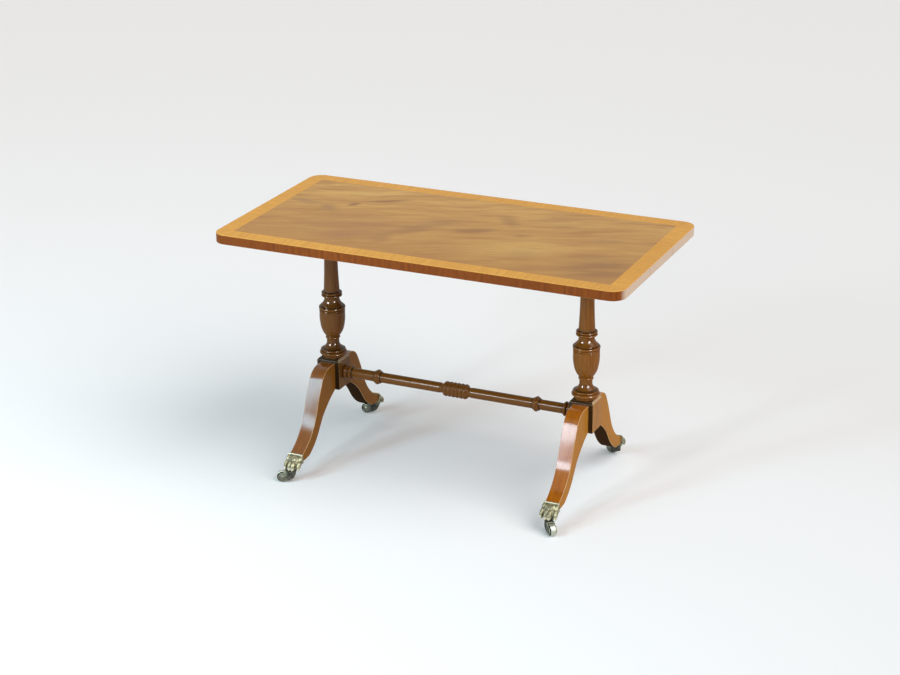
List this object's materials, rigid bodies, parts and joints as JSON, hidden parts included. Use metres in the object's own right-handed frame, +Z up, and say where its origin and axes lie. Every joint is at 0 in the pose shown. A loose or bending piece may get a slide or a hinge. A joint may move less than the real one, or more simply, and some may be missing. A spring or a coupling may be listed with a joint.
{
  "type": "coffee table",
  "caption": "Low rectangular table with a crossbanded top on turned columns, square blocks and sabre legs, joined by a turned stretcher, on brass lion-paw castors.",
  "frame": {"origin": "on the floor under the middle of the top", "axes": "+X along the top to the viewer's right, +Y to the back, +Z up"},
  "size_m": [0.845, 0.435, 0.514],
  "materials": {
    "field_veneer": "polished lacquer, flame figure",
    "crossband": "polished lacquer, straight cross grain",
    "edge_band": "polished lacquer, cross grain",
    "board": "sanded, hidden",
    "backing_veneer": "thin stain",
    "bearer_wood": "thin stain",
    "turned_wood": "dark shaded gloss lacquer",
    "block_wood": "dark shaded gloss lacquer",
    "leg_wood": "gloss lacquer",
    "dowel_wood": "plain beech, hidden",
    "cap_brass": "cast, antiqued",
    "castor_brass": "cast, antiqued",
    "wheel_brass": "turned, worn bright",
    "axle_brass": "riveted",
    "pin_steel": "plain",
    "screw_steel": "plain"
  },
  "bodies": {
    "table": {"top_core": "board", "backing_veneer": "backing_veneer", "field_veneer": "field_veneer", "crossband_front": "crossband", "crossband_back": "crossband", "crossband_left": "crossband", "crossband_right": "crossband", "edge_band_front": "edge_band", "edge_band_back": "edge_band", "edge_band_left": "edge_band", "edge_band_right": "edge_band", "bearer_left": "bearer_wood", "bearer_right": "bearer_wood", "bearer_screws": "screw_steel", "column_left": "turned_wood", "column_right": "turned_wood", "block_left": "block_wood", "block_right": "block_wood", "stretcher": "turned_wood", "leg_front_left": "leg_wood", "leg_back_left": "leg_wood", "leg_front_right": "leg_wood", "leg_back_right": "leg_wood", "leg_dowels": "dowel_wood", "paw_cap_front_left": "cap_brass", "paw_cap_back_left": "cap_brass", "paw_cap_front_right": "cap_brass", "paw_cap_back_right": "cap_brass", "cap_screws": "screw_steel"},
    "castor_front_left": {"swivel_pin_front_left": "pin_steel", "swivel_washer_front_left": "pin_steel", "fork_front_left": "castor_brass", "axle_front_left": "axle_brass"},
    "roller_front_left": {"wheel_front_left": "wheel_brass"},
    "castor_back_left": {"swivel_pin_back_left": "pin_steel", "swivel_washer_back_left": "pin_steel", "fork_back_left": "castor_brass", "axle_back_left": "axle_brass"},
    "roller_back_left": {"wheel_back_left": "wheel_brass"},
    "castor_front_right": {"swivel_pin_front_right": "pin_steel", "swivel_washer_front_right": "pin_steel", "fork_front_right": "castor_brass", "axle_front_right": "axle_brass"},
    "roller_front_right": {"wheel_front_right": "wheel_brass"},
    "castor_back_right": {"swivel_pin_back_right": "pin_steel", "swivel_washer_back_right": "pin_steel", "fork_back_right": "castor_brass", "axle_back_right": "axle_brass"},
    "roller_back_right": {"wheel_back_right": "wheel_brass"}
  },
  "joints": [
    {"name": "swivel_front_left", "type": "hinge", "parent": "table", "child": "castor_front_left", "pos_m": [-0.2765, -0.189, 0.0242], "axis": [0, 0, 1], "continuous": true},
    {"name": "roll_front_left", "type": "hinge", "parent": "castor_front_left", "child": "roller_front_left", "pos_m": [-0.29504, -0.19649, 0.012], "axis": [0.3746, -0.9272, 0], "continuous": true},
    {"name": "swivel_back_left", "type": "hinge", "parent": "table", "child": "castor_back_left", "pos_m": [-0.2765, 0.189, 0.0242], "axis": [0, 0, 1], "continuous": true},
    {"name": "roll_back_left", "type": "hinge", "parent": "castor_back_left", "child": "roller_back_left", "pos_m": [-0.29606, 0.18484, 0.012], "axis": [0.2079, -0.9781, 0], "continuous": true},
    {"name": "swivel_front_right", "type": "hinge", "parent": "table", "child": "castor_front_right", "pos_m": [0.2765, -0.189, 0.0242], "axis": [0, 0, 1], "continuous": true},
    {"name": "roll_front_right", "type": "hinge", "parent": "castor_front_right", "child": "roller_front_right", "pos_m": [0.28962, -0.20409, 0.012], "axis": [0.7547, 0.6561, 0], "continuous": true},
    {"name": "swivel_back_right", "type": "hinge", "parent": "table", "child": "castor_back_right", "pos_m": [0.2765, 0.189, 0.0242], "axis": [0, 0, 1], "continuous": true},
    {"name": "roll_back_right", "type": "hinge", "parent": "castor_back_right", "child": "roller_back_right", "pos_m": [0.26053, 0.20104, 0.012], "axis": [-0.6018, -0.7986, 0], "continuous": true}
  ]
}
